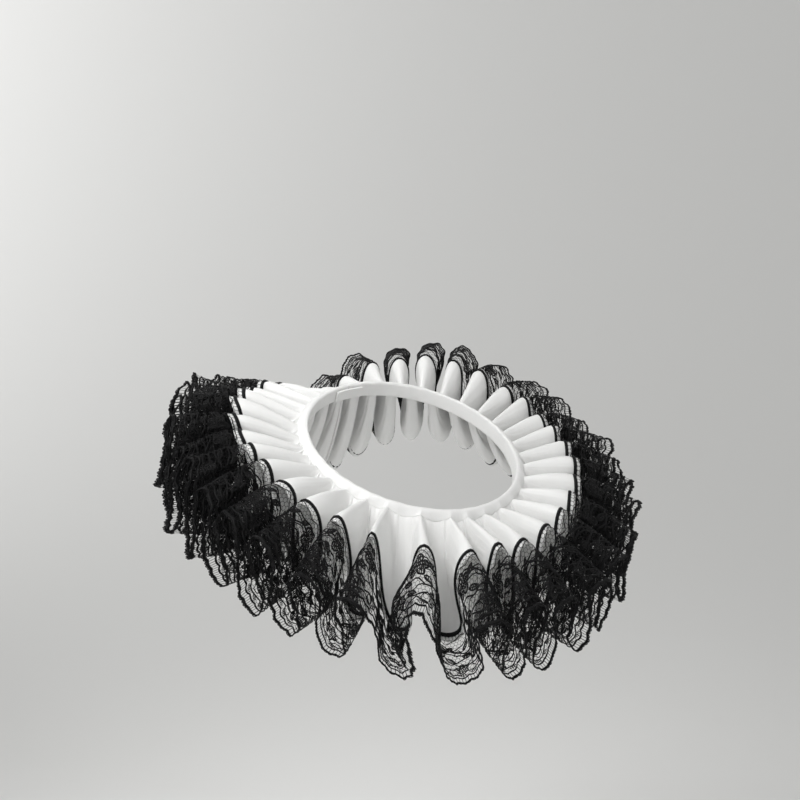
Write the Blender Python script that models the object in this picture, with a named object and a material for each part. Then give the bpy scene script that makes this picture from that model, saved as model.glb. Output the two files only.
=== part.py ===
"""Ruffled collar of historic costume, in the shape it has when it is worn.

A narrow satin neckband goes round the neck and opens at the centre back.
A satin ruffle stands out from it in deep round pleats, and a lace edging carries
the same pleats on to the outer edge. The ring leans towards the wearer's front,
and the pleats hang from it straight down, as cloth does.

+Z is up, -Y is the wearer's front, and the origin is the middle of the neck opening.
Lengths are in millimetres until a mesh is made. Ring angles are in degrees from the
wearer's front, and grow towards the wearer's left side, which is +X.
"""

import math
from collections import namedtuple

import bmesh
import bpy
from mathutils import Matrix, Vector

MILLIMETRE = 0.001
SEWING_GAP = 0.3          # room left between two pieces that are sewn together

RING_TILT = 20.9          # degrees that the ring leans towards the wearer's front
NECK_RADIUS = 65.0        # inside of the neckband, which fits a 408 mm neck
BACK_OPENING = 0.15       # degrees from the centre back to each end of a strip

BAND_THICKNESS = 2.6
BAND_TOP = 4.0            # above the plane of the ring
BAND_BOTTOM = -6.0        # below it
BAND_STEPS = 70

TAB_THICKNESS = 1.2
TAB_TOP = 2.0
TAB_BOTTOM = -5.0
TAB_SPAN = 18.0           # degrees of the ring that the tab lies behind
TAB_STEPS = 6

SATIN_THICKNESS = 1.2
LACE_THICKNESS = 1.0
RUFFLE_START = NECK_RADIUS + BAND_THICKNESS + SEWING_GAP + 0.5 * SATIN_THICKNESS
SATIN_REACH = 36.5        # from the neckband out to the lace seam, seen from above
LACE_REACH = 44.0         # from that seam out to the edge of the lace

TUCK_HEIGHT = 1.0         # height of the small tucks where the satin meets the band
PLEAT_START = 4.5         # the band holds the satin nearly flat about this far out
FULL_DEPTH_REACH = 44.0   # the pleats are fully open this far out from the band
CREST_BULGE = 3.0         # how far a crest swells up between the band and the seam
VALLEY_LIFT = 4.0         # how far a valley has risen again at the lace's edge
VALLEY_PULL = 5.0         # a valley falls steeply, so it reaches less far out
LOBE_DROP = 5.0           # how far a valley is rounded down at its lowest line
LOBE_WIDTH = 1.0          # half the width of that rounding, in radians of the pleat's turn
SIDE_SPREAD = 0.07        # share by which the wearer's right side reaches further out
BACK_SAG = 52.0           # how far the lace's edge sinks at the centre back
SAG_START = 128.0         # ring angle on either side where the ruffle starts to sink
SAG_POWER = 1.3
ROLL = 0.20               # how far a fold rolls over its neighbours, as a share of its width

CREST_SHARPNESS = 0.9     # how much narrower than its valley a crest is at the neckband
RIDGE_SHARPNESS = 4.2     # how much more than that at the front, where it is a thin ridge
RIDGE_SPREAD = 48.0       # degrees over which that fades out on both sides of the front
SHARP_REACH = 23.0        # both have mostly gone this far out

SHOULDER_PUSH = 9.0       # the lace over the wearer's right shoulder reaches further out
SHOULDER_CURL = 17.0      # its crests curl back in
SHOULDER_LIFT = 3.0       # and stand higher
SHOULDER_MIDDLE = -118.0  # ring angle where it does most of this
SHOULDER_WIDTH = 36.0     # degrees over which it fades out on both sides
BACK_LIFT = 7.0           # the crests behind that shoulder stand higher still
BACK_MIDDLE = -152.0
BACK_WIDTH = 16.0

FRONT_MIDDLE = -42.0      # the middle of the widest valleys
FRONT_WIDTH = 18.0        # degrees over which they become like the others
FRONT_NARROW = 1.5        # how much narrower the crests are between them
FRONT_LESS_ROLL = 0.4     # share of their roll that these crests lose
FRONT_CREST = -36.0       # the narrow crest between the two widest valleys
FRONT_PINCH = 1.3         # how much narrower it is at the lace's edge
FRONT_PINCH_WIDTH = 7.0   # degrees
FRONT_UNROLL = 0.75       # share of its roll that it loses there
FRONT_BILLOW = 6.0        # degrees that its lace billows out towards the wearer's right
OPEN_CREST = -52.0        # degrees, the crest beside the widest valley in front
OPEN_WIDTH = 7.0
OPEN_UNROLL = 0.9         # share of its roll that is gone on the valley's side
OPEN_NARROW = 1.1         # how much narrower it is there
PANEL_SHARE = 0.62        # how much flatter the satin's crests are over the shoulder
PANEL_WIDTH = 48.0
TUCK_LEAST = 0.2          # share of the tucks' height that is left far from the front

SATIN_RINGS = 3           # steps across the satin
LACE_RINGS = 2            # steps across the lace
PHASES = (16, 40, 68, 112, 140, 164, 180)   # where half a pleat has its points, in degrees

# One row for each pleat, from the centre back round the wearer's right side.
# crest: ring angle of its top fold. rise: height of that fold over the ring, mm.
# drop: depth of the valley after it, mm. lean: how far the fold has turned at the lace's
# edge, degrees. swing: how far the valley after it has turned there. fall: how far the
# crest has sunk again at that edge, mm.
Pleat = namedtuple("Pleat", "crest rise drop lean swing fall")
PLEATS = [Pleat(*row) for row in (
    (-175.6, 9.0, 45.0, 0.0, 0.5, 7.0),
    (-166.2, 10.0, 47.0, 1.5, -0.5, 7.5),
    (-157.2, 9.0, 46.0, -1.0, 1.0, 9.5),
    (-148.3, 6.0, 44.0, 1.0, -1.0, 6.0),
    (-139.0, 7.0, 46.0, -1.5, 0.5, 9.5),
    (-128.3, 8.0, 48.0, 0.5, -0.5, 8.0),
    (-118.0, 8.0, 46.0, -1.0, 1.0, 6.5),
    (-109.8, 7.0, 47.0, 1.0, -1.0, 10.0),
    (-102.1, 8.0, 46.0, -0.5, 0.5, 6.5),
    (-93.6, 8.0, 47.0, 1.0, 0.5, 8.0),
    (-83.0, 8.0, 46.0, -1.0, 1.5, 9.0),
    (-73.2, 7.0, 47.0, -1.5, -0.5, 7.0),
    (-62.4, 6.0, 48.0, -1.0, 0.0, 12.5),
    (-52.0, 4.0, 49.0, -2.0, 2.6, 13.5),
    (-36.0, 3.0, 49.0, -3.5, -0.5, 9.0),
    (-20.8, 3.0, 48.0, 0.5, 0.5, 12.0),
    (-12.0, 5.0, 46.0, 1.5, -1.0, 7.0),
    (-1.6, 5.0, 43.0, -0.5, 0.5, 9.0),
    (9.6, 6.0, 41.0, 1.0, -1.0, 8.5),
    (21.0, 7.0, 38.0, -1.0, 1.0, 6.5),
    (32.2, 8.0, 37.0, 0.5, -0.5, 10.0),
    (43.8, 8.0, 36.0, 1.5, 0.5, 7.0),
    (54.6, 8.0, 38.0, -1.0, 1.0, 8.0),
    (64.2, 7.0, 40.0, 0.5, -1.0, 9.5),
    (73.8, 7.0, 42.0, -1.5, 0.5, 6.0),
    (83.0, 6.0, 44.0, 0.5, -0.5, 9.5),
    (92.2, 7.0, 46.0, 1.0, 1.0, 8.0),
    (102.1, 6.0, 47.0, -1.0, 0.5, 7.0),
    (112.9, 7.0, 45.0, 0.5, -1.0, 10.0),
    (123.8, 6.0, 47.0, 1.5, 0.5, 6.5),
    (134.6, 7.0, 46.0, -0.5, 1.0, 8.5),
    (145.4, 6.0, 45.0, -1.5, -0.5, 9.0),
    (156.0, 7.0, 47.0, 1.0, 0.5, 6.0),
    (166.0, 5.0, 46.0, 0.5, -0.5, 10.0),
    (175.6, 6.0, 45.0, 0.0, 0.0, 7.0),
)]

RING_ROTATION = Matrix.Rotation(math.radians(RING_TILT), 3, "X")


def material(name, colour, roughness):
    """A plain cloth finish for the solids."""
    finish = bpy.data.materials.new(name)
    finish.use_nodes = True
    shader = finish.node_tree.nodes["Principled BSDF"]
    shader.inputs["Base Color"].default_value = (*colour, 1.0)
    shader.inputs["Roughness"].default_value = roughness
    shader.inputs["Metallic"].default_value = 0.0
    return finish


def add_object(name, bm, finish):
    """Turn a bmesh into a named object with its faces pointing out."""
    bmesh.ops.recalc_face_normals(bm, faces=bm.faces)
    mesh = bpy.data.meshes.new(name)
    bm.to_mesh(mesh)
    bm.free()
    mesh.materials.append(finish)
    mesh.shade_smooth()
    mesh.set_sharp_from_angle(angle=math.radians(50.0))
    item = bpy.data.objects.new(name, mesh)
    bpy.context.scene.collection.objects.link(item)
    return item


def neighbours(index):
    """The ring angles of the valleys before and after a pleat."""
    crest = PLEATS[index].crest
    if index == 0:
        before = -180.0 + BACK_OPENING
    else:
        before = 0.5 * (PLEATS[index - 1].crest + crest)
    if index == len(PLEATS) - 1:
        after = 180.0 - BACK_OPENING
    else:
        after = 0.5 * (crest + PLEATS[index + 1].crest)
    return before, after


def near(value, middle, width):
    """A share that is 1 where the value is at the middle and fades out on both sides."""
    return math.exp(-((value - middle) / width) ** 2)


def opened(reach):
    """How far the pleats have opened at a distance from the neckband, 0 to 1."""
    share = math.sin(0.5 * math.pi * min(1.0, reach / FULL_DEPTH_REACH))
    return share * (1.0 - near(reach, 0.0, PLEAT_START))


def crest_sharpness(crest, reach, beyond_seam):
    """How much narrower a crest is than its valleys, where 1 makes them equal."""
    at_band = CREST_SHARPNESS + RIDGE_SHARPNESS * near(crest, FRONT_CREST, RIDGE_SPREAD)
    narrow = FRONT_NARROW * near(crest, FRONT_MIDDLE, FRONT_WIDTH)
    pinch = FRONT_PINCH * near(crest, FRONT_CREST, FRONT_PINCH_WIDTH)
    panel = PANEL_SHARE * near(crest, SHOULDER_MIDDLE, PANEL_WIDTH) * (1.0 - beyond_seam)
    return (1.0 - panel) * (1.0 + at_band * near(reach, 0.0, SHARP_REACH)
                            + narrow * (1.0 - beyond_seam) + pinch * beyond_seam)


def billow(crest, turn, reach):
    """How far the lace of the front crest billows out on its right side, in degrees."""
    if turn >= 0.0 or reach <= SATIN_REACH:
        return 0.0
    mid_lace = math.sin(math.pi * (reach - SATIN_REACH) / LACE_REACH)
    here = near(crest, FRONT_CREST, FRONT_PINCH_WIDTH)
    return FRONT_BILLOW * here * mid_lace * math.sin(turn) ** 2


def valley_beside(index, phase):
    """The depth of the valley on the phase's side of a pleat, and how far it swings."""
    if phase > 0.0:
        return PLEATS[index].drop, PLEATS[index].swing
    if index == 0:
        return PLEATS[0].drop, 0.0
    return PLEATS[index - 1].drop, PLEATS[index - 1].swing


def back_sag(angle, reach):
    """How far the ruffle has sunk where it lies over the back of the neck."""
    share = max(0.0, (abs(angle) - SAG_START) / (180.0 - SAG_START)) ** SAG_POWER
    return BACK_SAG * share * math.sin(0.5 * math.pi * reach / (SATIN_REACH + LACE_REACH))


def ruffle_point(index, phase, reach):
    """A point of the ruffle's middle surface.

    The phase runs from -180 degrees, the valley before the pleat's crest, through 0 at
    the crest to 180 at the valley after it. The reach is the distance from the neckband.
    """
    pleat = PLEATS[index]
    before, after = neighbours(index)
    half_width = after - pleat.crest if phase > 0.0 else pleat.crest - before
    drop, swing = valley_beside(index, phase)
    turn = math.radians(phase)
    depth = opened(reach)
    beyond_seam = (max(0.0, reach - SATIN_REACH) / LACE_REACH) ** 2
    opening = near(pleat.crest, OPEN_CREST, OPEN_WIDTH) * (turn > 0.0)
    sharpness = crest_sharpness(pleat.crest, reach, beyond_seam)
    sharpness *= 1.0 + OPEN_NARROW * opening * depth
    crest_share = (0.5 + 0.5 * math.cos(turn)) ** sharpness
    valley_share = 1.0 - crest_share

    angle = pleat.crest + half_width * phase / 180.0
    roll = ROLL * (1.0 - FRONT_LESS_ROLL * near(pleat.crest, FRONT_MIDDLE, FRONT_WIDTH))
    roll *= 1.0 - FRONT_UNROLL * beyond_seam * near(pleat.crest, FRONT_CREST,
                                                    FRONT_PINCH_WIDTH)
    roll *= 1.0 - OPEN_UNROLL * opening * (1.0 - beyond_seam)
    angle += 2.0 * roll * half_width * depth * math.sin(2.0 * turn)
    angle += (pleat.lean * crest_share + swing * valley_share) * beyond_seam
    angle -= billow(pleat.crest, turn, reach)
    around = math.radians(angle)
    radius = RUFFLE_START + reach * (1.0 - SIDE_SPREAD * math.sin(around))
    radius -= VALLEY_PULL * depth * valley_share
    shoulder = near(angle, SHOULDER_MIDDLE, SHOULDER_WIDTH)
    radius += (SHOULDER_PUSH - SHOULDER_CURL * crest_share ** 2) * shoulder * beyond_seam

    bulge = CREST_BULGE * math.sin(0.5 * math.pi * min(2.0, reach / SATIN_REACH)) ** 2
    lift = SHOULDER_LIFT * shoulder + BACK_LIFT * near(angle, BACK_MIDDLE, BACK_WIDTH)
    crest_height = pleat.rise * depth + bulge + (lift - pleat.fall) * beyond_seam
    rounding = LOBE_DROP * (near(abs(turn), math.pi, LOBE_WIDTH) - 0.6) * depth ** 3
    valley_height = VALLEY_LIFT * beyond_seam - drop * depth - rounding
    height = crest_share * crest_height + valley_share * valley_height
    height -= back_sag(angle, reach)
    tuck = TUCK_HEIGHT * (1.0 - depth) * math.cos(turn)
    tuck *= TUCK_LEAST + (1.0 - TUCK_LEAST) * near(pleat.crest, FRONT_CREST, RIDGE_SPREAD)

    on_ring = Vector((radius * math.sin(around), -radius * math.cos(around), tuck))
    return RING_ROTATION @ on_ring + Vector((0.0, 0.0, height))


def ruffle_normal(index, phase, reach):
    """The direction square to the ruffle's surface at a point, on its upper side."""
    step = 0.5
    if phase >= 180.0:
        along = ruffle_point(index, phase, reach) - ruffle_point(index, phase - step, reach)
    elif phase <= -180.0 + step:
        along = ruffle_point(index, phase + step, reach) - ruffle_point(index, phase, reach)
    else:
        along = (ruffle_point(index, phase + step, reach)
                 - ruffle_point(index, phase - step, reach))
    outward = ruffle_point(index, phase, reach + step) - ruffle_point(index, phase, reach)
    return outward.cross(along).normalized()


def ruffle_columns():
    """Every fold line's place on the strip, from one end at the centre back to the other."""
    columns = [(0, -180.0)]
    for index in range(len(PLEATS)):
        for phase in reversed(PHASES[:-1]):
            columns.append((index, -float(phase)))
        columns.append((index, 0.0))
        for phase in PHASES:
            columns.append((index, float(phase)))
    return columns


def pleated_wall(name, start, end, rings, thickness, finish):
    """A closed wall of pleated cloth between two distances from the neckband."""
    bm = bmesh.new()
    reaches = [start + (end - start) * step / rings for step in range(rings + 1)]
    layers = []
    for side in (0.5, -0.5):
        layer = []
        for index, phase in ruffle_columns():
            line = []
            for reach in reaches:
                point = ruffle_point(index, phase, reach)
                point += ruffle_normal(index, phase, reach) * thickness * side
                line.append(bm.verts.new(point * MILLIMETRE))
            layer.append(line)
        layers.append(layer)
    top, under = layers
    for here in range(len(top) - 1):
        after = here + 1
        for ring in range(rings):
            for layer in layers:
                bm.faces.new((layer[here][ring], layer[here][ring + 1],
                              layer[after][ring + 1], layer[after][ring]))
        for ring in (0, rings):
            bm.faces.new((top[here][ring], top[after][ring],
                          under[after][ring], under[here][ring]))
    for end_line in (0, len(top) - 1):
        for ring in range(rings):
            bm.faces.new((top[end_line][ring], top[end_line][ring + 1],
                          under[end_line][ring + 1], under[end_line][ring]))
    return add_object(name, bm, finish)


def turned_strip(name, profile, start_angle, span, steps, finish):
    """A strip that follows the ring: its cut end is spun round the ring's axis."""
    bm = bmesh.new()
    start = Matrix.Rotation(math.radians(start_angle), 3, "Z")
    corners = [bm.verts.new(start @ Vector((0.0, -radius, height)) * MILLIMETRE)
               for radius, height in profile]
    cut_end = bm.faces.new(corners)
    bmesh.ops.spin(bm, geom=[cut_end] + list(cut_end.edges) + corners,
                   cent=(0.0, 0.0, 0.0), axis=(0.0, 0.0, 1.0),
                   angle=math.radians(span), steps=steps, use_duplicate=False)
    item = add_object(name, bm, finish)
    item.rotation_euler.x = math.radians(RING_TILT)
    return item


def neckband(finish):
    """The folded band round the neck, with a rolled top edge."""
    inner = NECK_RADIUS
    outer = NECK_RADIUS + BAND_THICKNESS
    roll = 0.35 * BAND_THICKNESS
    profile = [
        (inner, BAND_BOTTOM + roll),
        (inner + roll, BAND_BOTTOM),
        (outer - roll, BAND_BOTTOM),
        (outer, BAND_BOTTOM + roll),
        (outer, BAND_TOP - roll),
        (outer - roll, BAND_TOP),
        (inner + roll, BAND_TOP),
        (inner, BAND_TOP - roll),
    ]
    return turned_strip("neckband", profile, -180.0 + BACK_OPENING,
                        360.0 - 2.0 * BACK_OPENING, BAND_STEPS, finish)


def back_tab(finish):
    """The tab inside the band's two ends at the centre back."""
    outer = NECK_RADIUS - SEWING_GAP
    inner = outer - TAB_THICKNESS
    profile = [(inner, TAB_BOTTOM), (outer, TAB_BOTTOM), (outer, TAB_TOP), (inner, TAB_TOP)]
    return turned_strip("back_tab", profile, 180.0 - 0.5 * TAB_SPAN, TAB_SPAN,
                        TAB_STEPS, finish)


def main():
    for item in list(bpy.data.objects):
        bpy.data.objects.remove(item, do_unlink=True)
    satin = material("white satin", (0.88, 0.88, 0.86), 0.35)
    lace = material("black lace", (0.012, 0.012, 0.014), 0.7)
    neckband(satin)
    back_tab(satin)
    pleated_wall("satin_ruffle", 0.0, SATIN_REACH - 0.5 * SEWING_GAP,
                 SATIN_RINGS, SATIN_THICKNESS, satin)
    pleated_wall("lace_edging", SATIN_REACH + 0.5 * SEWING_GAP, SATIN_REACH + LACE_REACH,
                 LACE_RINGS, LACE_THICKNESS, lace)


main()
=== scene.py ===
# %% [markdown]
# # A ruffled collar of white satin and black lace
#
# The real collar is a narrow satin band round the neck, a satin ruffle in deep round pleats,
# and a black lace edging that carries the same pleats to the outer edge. The solids of the
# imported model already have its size, its pleats and its lean. This script makes the cloth
# itself: thin satin with its creases, a net that light passes through, and the heavy threads
# that draw the flowers, leaves and scallops on it.
#
# Every piece of cloth is made here as a maker makes it. It is cut and worked flat, in
# millimetres, and only then gathered on to the ruffle's shape by one function. So the lace
# pattern is charted once, repeated along a straight strip, and follows every fold.

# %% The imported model
import math
from collections import namedtuple

import bpy
import numpy as np
from mathutils import Matrix, Vector


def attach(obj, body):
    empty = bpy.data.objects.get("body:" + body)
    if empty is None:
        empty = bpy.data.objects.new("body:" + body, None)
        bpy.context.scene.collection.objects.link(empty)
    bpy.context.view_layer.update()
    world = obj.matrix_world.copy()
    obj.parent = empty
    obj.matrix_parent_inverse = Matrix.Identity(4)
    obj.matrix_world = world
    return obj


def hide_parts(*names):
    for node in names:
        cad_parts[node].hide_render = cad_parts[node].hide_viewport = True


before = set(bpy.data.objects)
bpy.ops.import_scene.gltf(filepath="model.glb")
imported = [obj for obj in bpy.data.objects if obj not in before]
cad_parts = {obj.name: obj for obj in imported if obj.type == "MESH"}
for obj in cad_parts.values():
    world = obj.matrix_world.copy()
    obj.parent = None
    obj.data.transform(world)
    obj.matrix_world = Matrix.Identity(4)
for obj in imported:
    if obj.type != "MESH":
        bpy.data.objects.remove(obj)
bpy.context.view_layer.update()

scene = bpy.context.scene
MILLIMETRE = 0.001
print("solids:", sorted(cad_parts))

# %% [markdown]
# ## The camera
#
# The photo looks at the collar from the wearer's right, a little above the shoulders. The
# ellipses of the neckband and of the lace's edge gave the angle, and the neck's size gave
# the distance. The camera stands a metre away, because a far camera with a long lens keeps
# the back of the ring from shrinking.

# %% Camera
CAMERA_AZIMUTH = math.radians(-41.4)
CAMERA_ELEVATION = math.radians(16.0)
CAMERA_DISTANCE = 1.0
RING_RIGHT_OF_MIDDLE = 0.0071     # where the neck opening's middle lies in the view
RING_BELOW_MIDDLE = 0.0292
LENS = 73.8
SENSOR_WIDTH = 36.0

towards_camera = Vector((math.sin(CAMERA_AZIMUTH) * math.cos(CAMERA_ELEVATION),
                         -math.cos(CAMERA_AZIMUTH) * math.cos(CAMERA_ELEVATION),
                         math.sin(CAMERA_ELEVATION)))
view_right = Vector((math.cos(CAMERA_AZIMUTH), math.sin(CAMERA_AZIMUTH), 0.0))
view_up = towards_camera.cross(view_right)
camera_place = (towards_camera * CAMERA_DISTANCE - view_right * RING_RIGHT_OF_MIDDLE
                + view_up * RING_BELOW_MIDDLE)
bpy.ops.object.select_all(action="DESELECT")
bpy.ops.object.camera_add(
    location=camera_place,
    rotation=Matrix((view_right, view_up, towards_camera)).transposed().to_euler())
camera = bpy.context.object
camera.data.lens = LENS
camera.data.sensor_width = SENSOR_WIDTH
scene.camera = camera
print("camera at", [round(value, 3) for value in camera.location])

# %% [markdown]
# ## Small helpers
#
# A finish is written as the colour a painter would name, in sRGB hex. The shader wants
# linear light, so one function turns one into the other. Another adds a node to a material
# with its settings and its links, and that is all the node code there is. The rest read and
# move a piece's points, give it a finish, and draw and convert curves.

# %% Helpers
MERGE_DISTANCE = 0.00001


def linear(hex_colour):
    """An sRGB hex colour as linear red, green, blue and alpha."""
    parts = [int(hex_colour[at:at + 2], 16) / 255.0 for at in (1, 3, 5)]
    return [part / 12.92 if part <= 0.04045 else ((part + 0.055) / 1.055) ** 2.4
            for part in parts] + [1.0]


def set_inputs(node, inputs):
    """Set a node's inputs, and link each one that is given another node's socket."""
    for place, value in inputs.items():
        if isinstance(value, bpy.types.NodeSocket):
            node.id_data.links.new(value, node.inputs[place])
        else:
            node.inputs[place].default_value = value


def add_node(tree, kind, inputs=None, **settings):
    """Add a node with its settings and its inputs."""
    node = tree.nodes.new(kind)
    for name, value in settings.items():
        setattr(node, name, value)
    set_inputs(node, inputs or {})
    return node


def new_finish(name):
    """A material with its Principled shader, and the tree that holds it."""
    finish = bpy.data.materials.new(name)
    finish.use_nodes = True
    return finish, finish.node_tree, finish.node_tree.nodes["Principled BSDF"]


def flat_points(piece):
    """A piece's vertices as an array of x, y and z."""
    points = np.empty(len(piece.data.vertices) * 3)
    piece.data.vertices.foreach_get("co", points)
    return points.reshape(-1, 3)


def move_points(piece, points):
    """Move a piece's vertices to the rows of an array."""
    piece.data.vertices.foreach_set("co", points.ravel())


def dress(piece, finish):
    """Give a piece one finish."""
    piece.data.materials.clear()
    piece.data.materials.append(finish)


def select_only(pieces):
    """Select these pieces and nothing else, with the first one active."""
    bpy.ops.object.select_all(action="DESELECT")
    for piece in pieces:
        piece.select_set(True)
    bpy.context.view_layer.objects.active = pieces[0]


def close_mesh(hole_sides=0):
    """Join the active piece's vertices that touch, close small holes and face it outwards."""
    bpy.ops.object.mode_set(mode="EDIT")
    bpy.ops.mesh.select_all(action="SELECT")
    bpy.ops.mesh.remove_doubles(threshold=MERGE_DISTANCE)
    if hole_sides:
        bpy.ops.mesh.fill_holes(sides=hole_sides)
    bpy.ops.mesh.normals_make_consistent(inside=False)
    bpy.ops.object.mode_set(mode="OBJECT")


def new_curve(name, dimensions="3D"):
    """An empty curve and the object that shows it."""
    curve = bpy.data.curves.new(name, "CURVE")
    curve.dimensions = dimensions
    curve.twist_mode = "Z_UP"
    piece = bpy.data.objects.new(name, curve)
    scene.collection.objects.link(piece)
    return curve, piece


def add_line(curve, points, closed=False, weight=1.0):
    """Add a line through flat points to a curve."""
    line = curve.splines.new("POLY")
    line.points.add(len(points) - 1)
    line.use_cyclic_u = closed
    for point, (x, y) in zip(line.points, points):
        point.co = (x, y, 0.0, 1.0)
        point.radius = weight


def as_mesh(piece):
    """Turn a curve's object into a mesh."""
    select_only([piece])
    bpy.ops.object.convert(target="MESH")
    return bpy.context.object


# %% [markdown]
# ## Light and room
#
# The photo was taken in soft daylight from the upper left, so the satin is nearly white on
# that side and grey in the valleys. A soft box with a narrow spread is the window, aimed at
# the collar's left side. A large weak lamp overhead is the sky, a third lights the front
# valleys from below, a fourth the backdrop, and the grey of the room does the rest. The
# backdrop is one sheet of pale paper that curves up behind the collar without a horizon.

# %% Lamps
Lamp = namedtuple(
    "Lamp", "name right near height size power spread aim_right aim_near aim_height")
LAMPS = (
    Lamp("window", -0.6, 0.4, 0.8, 0.7, 0.9, 38.0, -0.26, 0.0, 0.0),
    Lamp("sky", -0.5, 0.2, 1.2, 1.8, 0.6, 180.0, 0.0, 0.0, 0.0),
    Lamp("bounce", -0.3, 0.8, -0.3, 0.9, 1.2, 180.0, 0.0, 0.0, 0.0),
    Lamp("backdrop", -1.3, -0.8, 0.6, 0.7, 12.0, 180.0, -1.0, -1.8, 0.6),
)
level_near = Vector((towards_camera.x, towards_camera.y, 0.0)).normalized()


def room_place(right, near, height):
    """A place in the room, in metres to the camera's right, towards it and up."""
    return view_right * right + level_near * near + Vector((0.0, 0.0, height))


for lamp in LAMPS:
    place = room_place(lamp.right, lamp.near, lamp.height)
    aim = room_place(lamp.aim_right, lamp.aim_near, lamp.aim_height) - place
    bpy.ops.object.light_add(type="AREA", location=place,
                             rotation=aim.to_track_quat("-Z", "Y").to_euler())
    light = bpy.context.object
    light.name = lamp.name
    light.data.shape = "DISK"
    light.data.size = lamp.size
    light.data.energy = lamp.power
    light.data.spread = math.radians(lamp.spread)
room = bpy.data.worlds.new("room")
room.use_nodes = True
set_inputs(room.node_tree.nodes["Background"],
           {"Color": linear("#C9C9C8"), "Strength": 1.02})
scene.world = room
scene.view_settings.view_transform = "Standard"
print("lamps:", [lamp.name for lamp in LAMPS])

# %% Paper backdrop
FLOOR_LEVEL = -0.50
PAPER_WIDTH = 6.0
PAPER_LENGTH = 7.0
PAPER_ON_FLOOR = 3.0
PAPER_TOWARDS_CAMERA = 2.2        # where it starts, from the collar
PAPER_BEND = 1.1                  # radius of the curve from floor to wall
PAPER_ROWS = 48
bpy.ops.mesh.primitive_grid_add(x_subdivisions=2, y_subdivisions=PAPER_ROWS, size=1.0)
paper = bpy.context.object
paper.name = "paper_backdrop"
points = flat_points(paper)
run = (points[:, 1] + 0.5) * PAPER_LENGTH
on_bend = np.clip((run - PAPER_ON_FLOOR) / PAPER_BEND, 0.0, math.pi / 2.0)
away = np.minimum(run, PAPER_ON_FLOOR) + PAPER_BEND * np.sin(on_bend)
bend_end = PAPER_ON_FLOOR + PAPER_BEND * math.pi / 2.0
rise_up = PAPER_BEND * (1.0 - np.cos(on_bend)) + np.maximum(0.0, run - bend_end)
away_direction = -level_near
side = points[:, 0] * PAPER_WIDTH
forward = away - PAPER_TOWARDS_CAMERA
move_points(paper, np.stack([view_right.x * side + away_direction.x * forward,
                             view_right.y * side + away_direction.y * forward,
                             FLOOR_LEVEL + rise_up], axis=1))
paper.data.shade_smooth()
paper_finish, tree, shader = new_finish("matt backdrop paper")
set_inputs(shader, {"Base Color": linear("#DDDDDC"), "Roughness": 0.95,
                    "Specular IOR Level": 0.1})
dress(paper, paper_finish)
print("paper reaches", round(float(rise_up.max()), 2), "m up")

# %% [markdown]
# ## The ruffle's shape
#
# The same named sizes that shaped the solids shape the cloth: one row for each pleat, with
# the place of its crest round the neck, how high it stands, how deep the valley after it
# falls, how far both turn at the outer edge, and how far the crest has sunk there. The ring
# leans forward, but the folds hang straight down, because the weight of cloth knows nothing
# of the ring. In front the valleys are wide and the crests are thin ridges. Over the wearer's
# right shoulder the satin lies in flat panels and the lace stands up and curls back.
#
# Numpy works out all points at once. A place on the cloth is given by how many pleats along
# the strip it lies, and by its reach, the distance out from the neckband.

# %% Sizes of the ruffle, in millimetres and degrees
RING_TILT = 20.9
NECK_RADIUS = 65.0
BACK_OPENING = 0.15
RUFFLE_START = 68.5
SATIN_REACH = 36.5
LACE_REACH = 44.0
TUCK_HEIGHT = 1.0
TUCK_LEAST = 0.2                  # share of it that is left far from the front
PLEAT_START = 4.5
FULL_DEPTH_REACH = 44.0
CREST_BULGE = 3.0
VALLEY_LIFT = 4.0
VALLEY_PULL = 5.0
LOBE_DROP = 5.0
LOBE_WIDTH = 1.0
LOBE_MIDDLE = 0.6                 # share of its bend that goes down and not up
SIDE_SPREAD = 0.07
BACK_SAG = 52.0
SAG_START = 128.0
SAG_POWER = 1.3
ROLL = 0.20
CREST_SHARPNESS = 0.9
RIDGE_SHARPNESS = 4.2
SHARP_REACH = 23.0
SHOULDER_PUSH = 9.0
SHOULDER_CURL = 17.0
SHOULDER_LIFT = 3.0
BACK_LIFT = 7.0
FRONT_NARROW = 1.5
FRONT_LESS_ROLL = 0.4
FRONT_CREST = -36.0
FRONT_PINCH = 1.3
FRONT_UNROLL = 0.75
FRONT_BILLOW = 6.0
OPEN_UNROLL = 0.9
OPEN_NARROW = 0.25
PANEL_SHARE = 0.62
# Places round the ring where the folds differ, each as its middle and its width.
RIDGES = (FRONT_CREST, 48.0)
PINCHED = (FRONT_CREST, 7.0)
FRONT = (-42.0, 18.0)
OPENED = (-52.0, 7.0)
PANELS = (-118.0, 48.0)
SHOULDER = (-118.0, 36.0)
BACK = (-152.0, 16.0)

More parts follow.
